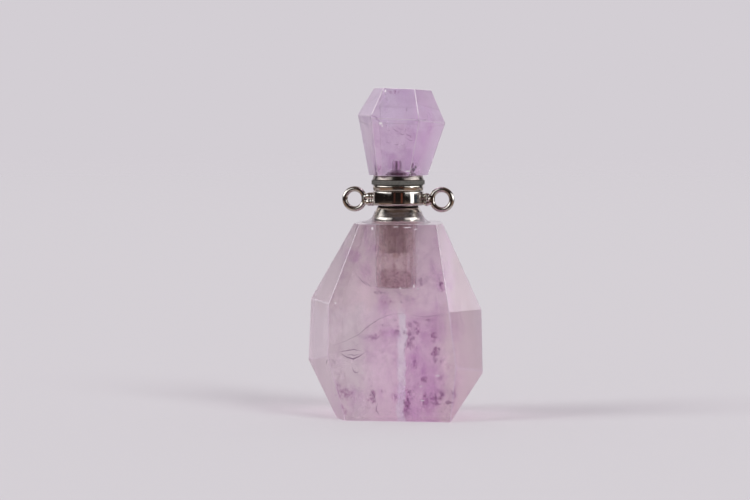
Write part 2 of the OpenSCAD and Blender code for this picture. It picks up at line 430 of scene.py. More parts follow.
def ground_amethyst(name, brown, beige, clear, bend, dark_foot, dark, dirty, foot_tint):
    # The wall of a drilled hole, ground and never polished: frosted, streaked and blotched (brown, beige)
    # where grinding dust has stayed, and grainier by dark and tinted by foot_tint below the height dark_foot.
    # clear is how much light gets through, bend its refraction, which is near 1 where glue fills the hole,
    # and dirty how strong the dust is.
    made, tree, output = new_material(name)
    place = millimetres(tree)
    height = axes_of(tree, place)["Z"]
    grit = noise_over(tree, place, 2.4, 5.0, roughness=0.8)
    blotch = noise_over(tree, place, 0.8, 4.0, distortion=0.5)
    upright = add(tree, "Mapping", {"Vector": place, "Scale": (1.0, 1.0, 0.12)}).outputs[0]
    streak = noise_over(tree, upright, 1.9, 3.0)
    low = remap(tree, height, dark_foot - 0.3, dark_foot + 0.3, dark, 0.0)
    darkening = maths(tree, "SUBTRACT", grit, low)
    wall = ramp(tree, blotch, (0.42, brown), (0.56, beige))
    grains = ramp(tree, darkening, (0.28, "92728a"), (0.37, "d0bec8"), (0.45, "f2eaf0"), (0.6, "ffffff"))
    streaks = ramp(tree, streak, (0.38, "cec4c2"), (0.47, "f0eaea"), (0.55, "ffffff"))
    for layer in (grains, streaks):
        wall = mixed(tree, dirty, wall, layer, "MULTIPLY")
    # Below dark_foot the wall is tinted by foot_tint: darker towards the foot.
    foot = remap(tree, height, dark_foot - 0.1, dark_foot + 0.1, 1.0, 0.0)
    wall = mixed(tree, foot, wall, srgb(foot_tint), "MULTIPLY")
    glass = add(tree, "BsdfPrincipled", {
        "Base Color": wall, "Roughness": 0.35, "IOR": bend, "Transmission Weight": clear,
        "Normal": bump(tree, grit, 0.8, 0.00015)})
    return finished(made, output, glass)


def polished_steel(name, tint, polish):
    # Stainless steel, turned and buffed to a mirror, with hair-fine turning marks and handling marks.
    made, tree, output = new_material(name)
    place = millimetres(tree)
    stretch = add(tree, "Mapping", {"Vector": place, "Scale": (0.4, 0.4, 14.0)}).outputs[0]
    marks = noise_over(tree, stretch, 2.0, 4.0)
    smears = noise_over(tree, place, 1.1, 3.0)
    metal = add(tree, "BsdfPrincipled", {
        "Base Color": srgb(tint), "Metallic": 1.0,
        "Roughness": remap(tree, smears, 0.35, 0.7, polish, polish + 0.08),
        "Normal": bump(tree, marks, 0.12, 0.00002)})
    return finished(made, output, metal)


def scored_steel():
    # The stopper's stud, scored lengthwise so that the glue holds. Six lengthwise stripes round it are
    # darker.
    made, tree, output = new_material("stainless_steel_scored")
    place = millimetres(tree)
    axes = axes_of(tree, place)
    turn = maths(tree, "ARCTAN2", axes["X"], axes["Y"])
    wave = maths(tree, "COSINE", maths(tree, "MULTIPLY", turn, 6.0))
    depth = maths(tree, "MULTIPLY_ADD", noise_over(tree, place, 2.5, 3.0), 1.2, wave)
    colour = ramp(tree, depth, (0.9, "ded2dc"), (1.0, "6e5a64"))
    metal = add(tree, "BsdfPrincipled", {"Base Color": colour, "Metallic": 1.0, "Roughness": 0.4})
    return finished(made, output, metal)


def painted_groove_shade():
    # Painted shade: a dark, matt, mottled finish in the groove just under the collar band, where shade falls.
    made, tree, output = new_material("dark_groove_painted_shade")
    shade_mottle = noise_over(tree, millimetres(tree), 4.0, 4.0)
    colour = ramp(tree, shade_mottle, (0.35, "16110f"), (0.7, "2c2421"))
    darkening = add(tree, "BsdfPrincipled", {"Base Color": colour, "Roughness": 0.7})
    return finished(made, output, darkening)


def gasket_rubber():
    # Grey silicone rubber, moulded: matt, a little dusty, with a faint grain from the mould.
    made, tree, output = new_material("grey_silicone")
    dust = noise_over(tree, millimetres(tree), 5.0, 5.0)
    colour = ramp(tree, dust, (0.3, "4a4a45"), (0.75, "686761"))
    rubber = add(tree, "BsdfPrincipled", {
        "Base Color": colour, "Roughness": 0.62, "Normal": bump(tree, dust, 0.4, 0.00003)})
    return finished(made, output, rubber)


def clear_glue():
    # Clear two-part glue, set where it ran: nearly all light goes straight through. It is a little cloudy all
    # over, and paler and less clear towards both sides along X: painted sheen, for the glue seen edge on.
    made, tree, output = new_material("clear_glue")
    place = millimetres(tree)
    ripple = noise_over(tree, place, 1.2, 2.0)
    cloud = remap(tree, ripple, 0.3, 0.7, 0.05, 0.12)
    off = maths(tree, "ABSOLUTE", axes_of(tree, place)["X"])
    # Painted sheen: more alpha and a paler tint towards both sides along X, where the fillet is seen edge on.
    partly_painted_light = maths(tree, "ADD", cloud, remap(tree, off, 2.2, 3.0, 0.0, 0.34))
    tint = ramp(tree, partly_painted_light, (0.1, "847c80"), (0.24, "c0b6be"))
    resin = add(tree, "BsdfPrincipled", {
        "Base Color": tint, "Roughness": 0.12, "IOR": 1.3, "Alpha": partly_painted_light,
        "Normal": bump(tree, ripple, 0.3, 0.0002)})
    return finished(made, output, resin)


# Stones

def facets_of(node, hole_r):
    """The CAD stone without its drilled hole, each facet one face."""
    form = bmesh.new()
    form.from_mesh(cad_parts[node].data)
    form.transform(Matrix.Scale(1 / MM, 4))
    bmesh.ops.remove_doubles(form, verts=form.verts, dist=0.001)
    hole = [v for v in form.verts if math.hypot(v.co.x, v.co.y) < hole_r + 0.01]
    bmesh.ops.delete(form, geom=hole, context="VERTS")
    bmesh.ops.delete(form, geom=form.edges[:] + form.faces[:], context="EDGES_FACES")
    bmesh.ops.convex_hull(form, input=form.verts)
    bmesh.ops.dissolve_limit(form, angle_limit=math.radians(0.4), verts=form.verts, edges=form.edges)
    bmesh.ops.recalc_face_normals(form, faces=form.faces)
    return form


def front_planes(node, hole_r):
    """The planes of a stone's front facets: y at the origin, and y per mm along X and along Z."""
    stone = facets_of(node, hole_r)
    planes = []
    for face in stone.faces:
        normal, corner = face.normal, face.verts[0].co
        if normal.y < -0.8:
            planes.append((normal.dot(corner) / normal.y, -normal.x / normal.y, -normal.z / normal.y))
    stone.free()
    return planes


def drill(radius, low, high, wander, end=1, mouth=0.0):
    """A rough cylinder to cut a hole with. Its wall and its end wander by the given amount, as a worn
    drill's do. end is 1 where the hole ends at the top and -1 where it ends at the bottom; mouth is the
    radius of the shallow dome at its open end, which is 1 mm outside the stone."""
    open_end, closed = (low, high) if end > 0 else (high, low)
    rim = open_end + end
    start = [(0, open_end), (radius, open_end)]
    if mouth:
        dome = arc((mouth, rim), (radius + 0.15, rim + HOLE_MOUTH_H), -1.3, steps=6)
        start = [(0, open_end), (mouth, open_end), *dome]
    first = start[-1][1]
    rows = int(abs(closed - first) / 0.2)
    wall = [(radius, first + (closed - first - end * 0.3) * i / rows) for i in range(1, rows + 1)]
    floor_line = [(radius - 0.05, closed - end * 0.1), (radius - 0.2, closed), (radius * 0.5, closed),
                  (0, closed)]
    form = turned(start + wall + floor_line, closed=False, steps=96)
    dice = random.Random(7)
    for v in form.verts:
        reach = math.hypot(v.co.x, v.co.y)
        if reach > radius * 0.4 and abs(v.co.z - open_end) > 0.01:
            swell = 0.5 + 0.6 * noise.noise(v.co * 1.5) + 0.25 * dice.random()
            v.co.xy *= 1 - wander * swell / reach
    for face in form.faces:
        face.material_index = 1
    return form


def cut_stone(node, hole_r, cutter, name, body, slot, *finishes):
    """A stone with its ridges rounded and its hole drilled by the cutter."""
    form = round_edges(facets_of(node, hole_r), RIDGE_R, least=2, segments=3, finish=2)
    form = through_modifier(form, "BOOLEAN", cutter, operation="DIFFERENCE", solver="EXACT")
    return piece(form, name, body, slot, *finishes, nodes=[node], smooth=False)


def stone_core(node, hole_r, front, cutter, name, body, slot, finish):
    """The inside of a stone from front (y) to its back, a hair under its skin and off its drilled hole."""
    form = facets_of(node, hole_r)
    low, high = box_mm(node)
    middle = (low + high) / 2
    shrink = Vector([1 - 2 * CORE_GAP / (high[i] - low[i]) for i in range(3)])
    for v in form.verts:
        v.co = middle + (v.co - middle) * shrink
        v.co.y = max(v.co.y, front)
    form = through_modifier(form, "BOOLEAN", cutter, operation="DIFFERENCE", solver="EXACT")
    for face in form.faces:
        face.material_index = 0
    return unlit(piece(form, name, body, slot, finish, smooth=False))


# What has grown inside the stones

def unlit(made):
    """Keeps a piece inside a stone out of the way of shadows: it only colours what is seen."""
    made.visible_shadow = False
    return made


def lump(dice, place, size, bumps=0.3, detail=2):
    """A closed knobbly pebble. size is its half width along X, Y and Z."""
    form = bmesh.new()
    bmesh.ops.create_icosphere(form, subdivisions=detail, radius=1)
    seed = Vector([dice.uniform(0, 50) for _ in range(3)])
    for v in form.verts:
        swell = 1 + bumps * 2 * noise.noise(v.co * 1.7 + seed)
        v.co = Vector(place) + v.co * swell * Vector(size)
    return form


def strand(points, radius, depth):
    """A closed thin ribbon through points of (x, y, z), edge on from the front and tapered at its ends."""
    form = bmesh.new()
    deep = Vector((0, 1, 0))
    rings = []
    for i, place in enumerate(points):
        ahead = Vector(points[min(i + 1, len(points) - 1)]) - Vector(points[max(i - 1, 0)])
        side = ahead.cross(deep).normalized()
        taper = 0.25 + 0.75 * math.sin(math.pi * (i + 0.5) / len(points))
        section = []
        for step in range(8):
            turn = math.tau * step / 8
            spoke = side * math.cos(turn) * radius * taper + deep * math.sin(turn) * depth * taper
            section.append(form.verts.new(Vector(place) + spoke))
        rings.append(section)
    bridge(form, rings)
    form.faces.new(rings[0])
    form.faces.new(rings[-1])
    bmesh.ops.recalc_face_normals(form, faces=form.faces)
    return form


BODY_FRONT = front_planes("body_stone", BORE_R)
CAP_FRONT = front_planes("stopper_stone", STUD_HOLE_R)


def behind(planes):
    """A function for the place at x and z that lies a depth behind a stone's front facets."""
    def place(x, depth, z):
        return (x, max(base + sideways * x + upward * z for base, sideways, upward in planes) + depth, z)
    return place


def specks(dice, at, marks, depths):
    """Clusters of small grains. A mark is its middle (x, z) and how wide and tall it is."""
    parts = []
    for x, z, wide, tall in marks:
        for _ in range(5 + int(14 * wide * tall)):
            place = at(x + dice.gauss(0, 0.3) * wide, dice.uniform(*depths), z + dice.gauss(0, 0.3) * tall)
            small = dice.uniform(0.07, 0.07 + 0.26 * min(wide, tall, 0.5))
            size = (small * dice.uniform(0.6, 1.4), small, small * dice.uniform(0.6, 1.8))
            parts.append(lump(dice, place, size, bumps=0.7))
    return parts


def strewn(dice, at, count, middle, spread, low, high, depths):
    """Fine grains strewn through a stone, thickest at its middle."""
    parts = []
    while len(parts) < count:
        x, z = dice.gauss(middle, spread), dice.uniform(low, high)
        if abs(x - middle) < 2.2 * spread:
            small = dice.uniform(0.03, 0.11)
            place = at(x, dice.uniform(*depths), z)
            size = (small, small, small * dice.uniform(0.7, 2.5))
            parts.append(lump(dice, place, size, bumps=0.5, detail=1))
    return parts


def clouds(dice, at, zones, depths, thick=(0.4, 1.0)):
    """Wide soft patches. A zone is its middle (x, z), how wide and tall it is and its number of lumps."""
    parts = []
    for x, z, wide, tall, count in zones:
        for _ in range(count):
            place = at(x + dice.uniform(-0.5, 0.5) * wide, dice.uniform(*depths),
                       z + dice.uniform(-0.5, 0.5) * tall)
            broad = min(wide, tall)
            size = (broad * dice.uniform(0.08, 0.3), dice.uniform(*thick), broad * dice.uniform(0.14, 0.5))
            parts.append(lump(dice, place, size, bumps=0.8, detail=3))
    return parts


def cracks(dice, at, lines, depth=0.3):
    """Healed cracks, seen edge on as thin dark lines through (x, z) points."""
    parts = []
    for points, radius in lines:
        fine = []
        for (xa, za), (xb, zb) in zip(points, points[1:]):
            for i in range(6):
                share = i / 6
                fine.append(at(xa + (xb - xa) * share, 0.8, za + (zb - za) * share))
        fine.append(at(points[-1][0], 0.8, points[-1][1]))
        fine = [tuple(c + dice.uniform(-0.025, 0.025) for c in place) for place in fine]
        parts.append(strand(fine, radius, depth))
    return parts


def grown(parts, node, hole_r, hole_low, hole_high, name, body, slot, finish):
    """One piece of all that grew inside a stone, pressed back under its facets and off its drilled hole."""
    form = joined(*parts)
    stone = facets_of(node, hole_r)
    flats = [(face.normal.copy(), face.verts[0].co.copy()) for face in stone.faces]
    stone.free()
    for v in form.verts:
        reach = math.hypot(v.co.x, v.co.y)
        if reach < hole_r + 0.1 and hole_low - 0.1 < v.co.z < hole_high + 0.1:
            v.co.xy *= (hole_r + 0.1) / max(reach, 0.01)
        for _ in range(2):
            for normal, corner in flats:
                over = (v.co - corner).dot(normal) + 0.12
                if over > 0:
                    v.co -= normal * over
    return unlit(piece(form, name, body, slot, finish))


def fill(node, hole, stem, body, slot, *layers):
    """A piece for each layer of what grew in a stone: its parts, its name after the stem, and its finish.
    hole is the radius of the drilled hole and its lowest and highest height."""
    for parts, name, finish in layers:
        grown(parts, node, *hole, stem + name, body, slot, finish)


# Given in mm. Specks, spots and chips: the middle (x, z), then how wide and how tall. Zones: the
# same, then how many lumps. Cracks: points (x, z), then the radius.
BODY_SPECKS = [
    (-0.9, 10.7, 0.5, 0.25), (0.6, 10.1, 0.5, 1.2), (-2.0, 9.4, 0.9, 0.5), (1.9, 10.9, 0.6, 0.3),
    (2.6, 11.2, 0.4, 0.2), (2.0, 9.9, 0.8, 1.6), (2.9, 10.1, 0.4, 0.8), (4.0, 11.4, 0.4, 0.3),
    (4.8, 9.6, 0.4, 0.9), (2.0, 8.7, 1.0, 1.0), (4.9, 7.9, 0.6, 1.0), (5.0, 7.0, 0.5, 0.7),
    (2.6, 6.7, 0.3, 0.3), (2.7, 6.1, 0.3, 0.5), (3.6, 4.7, 0.6, 0.7), (5.6, 4.9, 0.6, 0.3),
    (0.4, 2.7, 0.3, 0.4), (1.9, 3.3, 0.4, 0.5), (1.8, 2.3, 0.5, 0.7), (1.8, 1.6, 0.7, 0.4),
    (1.7, 0.9, 0.5, 0.7), (3.7, 2.9, 0.4, 0.7), (3.6, 2.0, 0.5, 0.7), (5.3, 2.9, 1.2, 1.0),
    (6.3, 2.2, 0.5, 0.5), (-1.0, 3.3, 0.5, 0.2), (1.0, 13.4, 0.15, 0.4), (-5.2, 3.5, 0.4, 0.3),
    (-2.2, 2.9, 0.5, 0.9), (-5.9, 3.9, 0.25, 0.6), (5.6, 6.8, 0.3, 0.2), (3.2, 15.6, 0.4, 0.5),
    (5.4, 15.4, 0.3, 0.8), (-1.4, 14.4, 1.6, 0.3)]
LILAC_ZONES = [
    (3.8, 6.6, 3.4, 10.0, 34), (2.0, 4.0, 1.6, 8.0, 14), (2.6, 2.6, 4.4, 4.0, 8), (-5.4, 2.2, 3.2, 3.2, 12),
    (5.0, 2.2, 3.4, 3.2, 5), (-1.6, 8.8, 3.6, 2.6, 10), (0.2, 12.8, 4.4, 2.2, 12), (-2.6, 20.0, 2.0, 2.6, 4),
    (-3.6, 17.0, 2.6, 4.0, 6), (4.6, 16.0, 1.6, 8.0, 12), (-1.4, 4.4, 3.0, 4.0, 4)]
PALE_ZONES = [
    (1.1, 6.0, 0.7, 11.0, 15), (-3.2, 1.6, 1.8, 3.0, 8), (2.4, 1.2, 1.8, 2.0, 5), (-5.0, 13.0, 4.0, 5.0, 12),
    (-0.8, 11.6, 2.6, 1.0, 7), (-6.0, 6.2, 3.0, 2.0, 8), (6.6, 5.4, 1.6, 3.0, 8), (-1.6, 6.0, 2.6, 3.0, 8)]
BODY_CRACKS = [
    ([(-6.9, 8.3), (-5.3, 8.9), (-3.9, 9.6), (-2.7, 10.6), (-1.6, 11.4), (0.0, 12.0), (1.6, 12.1)], 0.03),
    ([(-6.1, 7.6), (-5.3, 7.8), (-4.4, 7.95), (-3.5, 7.8)], 0.055),
    ([(-5.9, 7.5), (-5.2, 7.1), (-4.4, 6.9), (-3.7, 7.2), (-3.2, 7.6)], 0.085),
    ([(-5.4, 7.3), (-4.8, 7.35), (-4.2, 7.3), (-3.6, 7.5)], 0.04),
    ([(-3.9, 16.2), (-3.5, 15.6), (-2.8, 15.1)], 0.05), ([(-3.6, 16.0), (-2.8, 15.3), (-2.4, 15.0)], 0.03),
    ([(-4.5, 5.9), (-4.4, 5.5), (-4.0, 5.3), (-3.7, 5.6)], 0.05),
    ([(-7.8, 6.3), (-7.4, 6.7), (-6.9, 6.8), (-6.5, 6.5), (-6.5, 6.0)], 0.02),
    ([(2.2, 11.9), (3.6, 11.7), (5.0, 11.9), (6.4, 12.0)], 0.025),
    ([(-2.6, 3.6), (-2.1, 2.9), (-1.7, 2.0)], 0.035), ([(-6.1, 4.2), (-6.3, 3.5), (-6.2, 2.9)], 0.02),
    ([(-1.6, 2.0), (-1.8, 1.2), (-1.4, 0.6)], 0.06),
    ([(6.6, 3.8), (6.9, 3.0), (6.8, 2.2)], 0.04), ([(4.2, 2.2), (5.0, 1.9), (5.8, 2.0)], 0.03)]
BODY_SPOTS = [
    (2.1, 10.4, 1.0, 2.6), (2.9, 10.6, 1.0, 2.4), (4.3, 11.4, 1.8, 0.7), (4.7, 9.7, 1.1, 1.5),
    (2.1, 8.6, 1.5, 1.5), (4.9, 7.9, 1.1, 2.2), (0.5, 10.2, 1.3, 2.2), (-1.4, 9.9, 2.6, 1.2),
    (2.7, 6.6, 0.9, 2.4), (3.7, 4.8, 1.4, 1.4), (1.9, 2.4, 1.3, 4.4), (3.8, 2.2, 1.3, 3.4),
    (5.6, 2.6, 3.2, 2.6), (-2.2, 2.6, 1.6, 2.4), (-5.6, 3.0, 4.4, 2.4), (-5.6, 1.2, 2.4, 2.2),
    (0.2, 2.6, 0.9, 2.2), (5.6, 15.2, 0.8, 2.4), (-0.6, 13.4, 2.6, 1.8), (6.2, 6.6, 2.0, 2.0)]
CAP_SPOTS = [
    (-2.0, 28.3, 1.6, 1.2), (2.4, 28.2, 2.6, 1.4), (0.2, 29.6, 3.0, 0.8), (1.6, 31.8, 1.6, 1.0),
    (0.0, 36.9, 2.6, 0.7)]
CAP_SPECKS = [(2.7, 28.0, 0.9, 0.4), (-2.4, 28.2, 0.5, 0.4)]
CAP_CRACKS = [
    ([(-0.9, 32.75), (-0.6, 32.6), (-0.4, 32.65)], 0.03), ([(-0.2, 32.9), (0.2, 32.6), (0.5, 32.5)], 0.06),
    ([(0.4, 33.0), (0.7, 32.8), (1.0, 32.75)], 0.025), ([(0.6, 32.3), (0.95, 32.15), (1.2, 32.25)], 0.07),
    ([(1.3, 32.3), (1.6, 32.1), (1.9, 32.05)], 0.05), ([(1.4, 31.8), (1.8, 31.5), (2.15, 31.55)], 0.06),
    ([(-1.0, 31.4), (-0.6, 31.2), (-0.3, 31.25)], 0.04), ([(-0.1, 31.1), (0.3, 31.0), (0.5, 31.15)], 0.05),
    ([(-2.6, 34.2), (-2.0, 33.95), (-1.4, 33.5)], 0.07), ([(-1.6, 30.0), (-0.6, 29.9), (0.0, 30.0)], 0.02),
    ([(0.8, 33.9), (2.6, 33.75), (4.0, 33.6), (5.0, 33.5)], 0.03)]
CAP_ZONES = [(0.8, 35.6, 4.0, 2.6, 5), (2.0, 32.6, 2.6, 2.4, 3), (0.0, 29.0, 4.4, 2.6, 7)]
CAP_PALE = [
    (-1.0, 36.4, 0.8, 1.6, 5), (2.8, 27.95, 0.8, 0.5, 4), (1.4, 31.0, 3.0, 1.2, 3), (-0.6, 33.4, 2.4, 0.8, 3)]
# Places of painted glints on the stopper: white spots at chipped places, where light would glint.
CAP_PAINTED_GLINTS = [
    (-1.06, 37.0, 0.22, 0.28), (-1.42, 33.38, 0.44, 0.3), (-1.25, 33.1, 0.16, 0.26),
    (2.72, 33.75, 0.24, 0.16), (1.5, 28.0, 0.6, 0.16), (1.95, 28.25, 0.4, 0.14), (2.3, 28.0, 0.5, 0.2),
    (2.7, 27.75, 0.4, 0.16), (1.75, 27.7, 0.3, 0.14), (-2.3, 27.75, 0.24, 0.26)]
# Places of painted glints on the bottle stone, as above.
BODY_PAINTED_GLINTS = [
    (1.7, 21.75, 1.0, 0.12), (2.6, 21.55, 0.3, 0.16), (-2.3, 21.6, 0.24, 0.36), (0.4, 21.8, 0.7, 0.08),
    (-6.4, 13.2, 0.16, 0.3), (2.45, 15.2, 0.16, 0.4), (2.9, 14.9, 0.14, 0.3), (0.9, 14.95, 0.14, 0.3),
    (5.2, 5.2, 0.6, 0.1), (3.3, 4.0, 0.4, 0.08), (3.5, 2.4, 0.6, 0.1), (-3.3, 5.4, 0.24, 0.14)]


# Metal

def threaded(radius, depth, low, high, pitch, steps=144):
    """The skin of a screw thread as an open tube: radius at the crests, radius + depth at the roots."""
    form = bmesh.new()
    count = int((high - low) / pitch * 10)
    rows = []
    for row in range(count + 1):
        height = low + (high - low) * row / count
        fade = min(1, (height - low) / pitch, (high - height) / pitch)
        points = []
        for step in range(steps):
            turn = step / steps
            phase = (height / pitch - turn) % 1
            root = min(1, max(0, 2.2 * abs(2 * phase - 1) - 0.6))
            reach = radius + depth * (1 - fade * (1 - root))
            spot = (reach * math.cos(math.tau * turn), reach * math.sin(math.tau * turn), height)
            points.append(form.verts.new(spot))
        rows.append(points)
    bridge(form, rows)
    return form


def welded(*forms):
    """The forms as one, stuck together where their points meet."""
    return closed_up(joined(*forms))


def flare_line(gap=0.0):
    """The flare's outline from its lower lip up to the neck: a rolled lip, then a cone."""
    waist = (FLARE_R - 0.16 + gap, TABLE_Z + 0.77)
    lip = arc((FLARE_R - 0.04 + gap, TABLE_Z + 0.25), waist, -0.95)
    cone = arc(waist, (NECK_R - 0.14 + gap, TABLE_Z + 1.74), -9.0)
    return lip + cone[1:]


def neck(finish, groove_shade, rough):
    rim_foot = RIM_TOP - RIM_H
    bead = arc((RIM_R - 0.1, rim_foot + 0.02), (RIM_R, rim_foot + 0.5), -1.2, steps=6)
    crown = arc((RIM_R, rim_foot + 0.5), (RIM_R - 0.18, RIM_TOP), -0.2, steps=8)
    thread_top, thread_foot = RIM_TOP - 0.35, NECK_LOW.z + 0.4
    root = THROAT_R + THREAD_DEPTH
    profile = [
        (root, thread_foot), (THROAT_R + 0.05, NECK_LOW.z), (TUBE_R, NECK_LOW.z), (TUBE_R, TABLE_Z),
        (FLARE_R - 0.12, TABLE_Z), (FLARE_R - 0.05, TABLE_Z + 0.08), *flare_line(),
        (NECK_R - 0.25, TABLE_Z + 1.82), (NECK_R - 0.25, TABLE_Z + 1.9), (NECK_R, TABLE_Z + 1.98),
        (NECK_R, rim_foot), *bead, *crown[1:], (THROAT_R + 0.3, RIM_TOP), (root, RIM_TOP - 0.1),
        (root, thread_top)]
    wall = turned(profile, closed=False)
    form = welded(wall, threaded(THROAT_R, THREAD_DEPTH, thread_foot, thread_top, THREAD_PITCH))
    for face in form.faces:
        middle = face.calc_center_median()
        # The groove just under the collar band takes the painted shade finish.
        if TABLE_Z + 1.72 < middle.z < TABLE_Z + 2.0 and middle.xy.length > THROAT_R + 0.4:
            face.material_index = 1
        if middle.z < TABLE_Z and middle.xy.length > THROAT_R + 0.3:
            face.material_index = 2
    return piece(form, "turned_neck", "bottle", "polished_steel", finish, groove_shade, rough,
                 nodes=["neck_fitting"])


def ring(radius, reach=180.0, steps=72, taper=0.0):
    """A wire ring round the Y axis, or the part of it within reach degrees of the -X side."""
    form = bmesh.new()
    sides = 20
    closed = reach >= 180
    rows = []
    for i in range(steps if closed else steps + 1):
        turn = math.pi + math.radians(reach) * (2 * i / steps - 1)
        thick = radius - taper * abs(2 * i / steps - 1)
        middle = Vector((math.cos(turn), 0, math.sin(turn)))
        points = []
        for j in range(sides):
            spin = math.tau * j / sides
            spot = middle * (LOOP_R + thick * math.cos(spin)) + Vector((0, thick * math.sin(spin), 0))
            points.append(form.verts.new(spot))
        rows.append(points)
    bridge(form, rows + rows[:1] if closed else rows)
    if not closed:
        form.faces.new(rows[0])
        form.faces.new(rows[-1])
    bmesh.ops.recalc_face_normals(form, faces=form.faces)
    bmesh.ops.translate(form, verts=form.verts, vec=(BAND_R + STEM_LEN + LOOP_R, 0, 0))
    return form


def loop_and_lug(lumps):
    """The wire loop on the collar's +X side with its cast lug. lumps are (x, y, z, radius)."""
    band_foot = RIM_TOP - RIM_H - BAND_H
    parts = [ring(WIRE_R + 0.05, reach=48, steps=24, taper=0.09)]
    for x, y, z, radius in lumps:
        part = bmesh.new()
        bmesh.ops.create_icosphere(part, subdivisions=3, radius=radius)
        bmesh.ops.translate(part, verts=part.verts, vec=(BAND_R + x, y, z))
        parts.append(part)
    lug = through_modifier(joined(*parts), "REMESH", mode="VOXEL", voxel_size=0.035)
    for _ in range(6):
        bmesh.ops.smooth_vert(lug, verts=lug.verts, factor=0.5,
                              use_axis_x=True, use_axis_y=True, use_axis_z=True)
    form = joined(ring(WIRE_R, steps=96), lug)
    for face in form.faces:
        face.material_index = 1
    bmesh.ops.translate(form, verts=form.verts, vec=(0, 0, band_foot + STEM_RISE))
    return form


def collar(finish, cast):
    foot = RIM_TOP - RIM_H - BAND_H
    top = foot + BAND_H
    inner = NECK_R + COLLAR_GAP
    wall = arc((BAND_R - 0.03, foot + 0.16), (BAND_R - 0.035, top - 0.17), -9.5, steps=10)
    crown = arc((BAND_R - 0.035, top - 0.17), (BAND_R - 0.17, top), -0.18, steps=6)
    band = turned([(inner, foot), (BAND_R - 0.2, foot), (BAND_R - 0.17, foot + 0.02), *wall, *crown,
                   (inner, top)])
    right = loop_and_lug([
        (0.14, 0.12, 0.26, 0.42), (0.14, 0.12, -0.26, 0.42), (0.4, -0.06, 0.36, 0.4),
        (0.38, -0.03, -0.36, 0.4),
        (0.55, -0.45, 0.06, 0.27), (0.78, 0.0, 0.26, 0.38), (0.78, 0.0, -0.26, 0.36)])
    left = loop_and_lug([
        (0.05, 0.0, 0.3, 0.5), (0.05, 0.0, -0.3, 0.5), (0.36, 0.03, 0.32, 0.46), (0.36, 0.03, -0.34, 0.46),
        (0.76, 0.0, 0.26, 0.38), (0.76, 0.0, -0.28, 0.38)])
    bmesh.ops.rotate(left, verts=left.verts, cent=ORIGIN, matrix=Matrix.Rotation(math.pi, 3, "Z"))
    form = joined(band, right, left)
    bmesh.ops.rotate(form, verts=form.verts, cent=ORIGIN, matrix=Matrix.Rotation(COLLAR_TURN, 3, "Z"))
    bmesh.ops.recalc_face_normals(form, faces=form.faces)
    return piece(form, "collar_with_loops", "bottle", "collar_steel", finish, cast, nodes=["loop_collar"])


def stopper_metal(finish, partly_painted_light, scored):
    plug_foot = DISC_FOOT - PLUG_LEN
    edge = [(DISC_R - 0.06, DISC_FOOT),
            *arc((DISC_R, DISC_FOOT + 0.05), (DISC_R - 0.17, CAP_FOOT), -8.0, steps=8)]
    thread_foot, thread_top = plug_foot + 0.25, DISC_FOOT - 0.45
    root = PLUG_R - THREAD_DEPTH
    tip = [(0, FITTING_LOW.z), (TIP_R - 0.12, FITTING_LOW.z), (TIP_R - 0.03, FITTING_LOW.z + 0.04),
           (TIP_R, FITTING_LOW.z + 0.12), (TIP_R, plug_foot - 0.06), (TIP_R + 0.06, plug_foot),
           (root - 0.15, plug_foot), (root, plug_foot + 0.15), (root, thread_foot)]
    head = [(root, thread_top), (root, DISC_FOOT - 0.12), (root + 0.12, DISC_FOOT), *edge,
            (STUD_R + 0.1, CAP_FOOT), (STUD_R, CAP_FOOT + 0.1), (STUD_R, FITTING_HIGH.z - 0.1),
            (STUD_R - 0.1, FITTING_HIGH.z), (0, FITTING_HIGH.z)]
    screw = threaded(PLUG_R, -THREAD_DEPTH, thread_foot, thread_top, THREAD_PITCH)
    form = welded(turned(tip, closed=False), turned(head, closed=False), screw)
    for face in form.faces:
        height = face.calc_center_median().z
        # The disc takes a darker copy of the steel, painted shade that dims its highlights; the stud takes
        # the scored steel.
        if height > DISC_FOOT + 0.01:
            face.material_index = 1 if height < CAP_FOOT + 0.05 else 2
    return piece(form, "stopper_screw", "stopper", "polished_steel", finish, partly_painted_light, scored,
                 nodes=["stopper_fitting"])


# Gasket and glue

def gasket(finish):
    outer = GASKET_HIGH.x
    foot, top = GASKET_LOW.z, GASKET_HIGH.z
    belly = arc((outer - 0.01, foot + 0.04), (outer - 0.01, top - 0.04), -6.0, steps=6)
    form = turned([(PLUG_R + 0.03, foot), (outer - 0.09, foot), (outer - 0.03, foot + 0.01), *belly,
                   (outer - 0.03, top - 0.01), (outer - 0.09, top), (PLUG_R + 0.03, top)])
    return piece(form, "rubber_gasket", "seal", "gasket_rubber", finish, nodes=["gasket"])


def glue(finish):
    shift = (GLUE_HIGH.x + GLUE_LOW.x) / 2
    outer = GLUE_HIGH.y
    top = (FLARE_R - 0.33, GLUE_HIGH.z)
    slope = arc((outer, TABLE_Z + 0.03), top, 1.5, steps=12)
    inside = [place for place in reversed(flare_line(0.02)) if place[1] < GLUE_HIGH.z - 0.05]
    form = turned([(FLARE_R + 0.02, TABLE_Z), (outer, TABLE_Z), *slope, *inside])
    for v in form.verts:
        reach = math.hypot(v.co.x, v.co.y)
        lean = min(1, max(0, (reach - FLARE_R - 0.02) / (outer - FLARE_R)))
        v.co.x += shift * lean
    return piece(form, "glue_fillet_ring", "bottle", "clear_glue", finish, nodes=["glue_fillet"])


# Stage, light and camera

PALE = srgb("d3ced4")


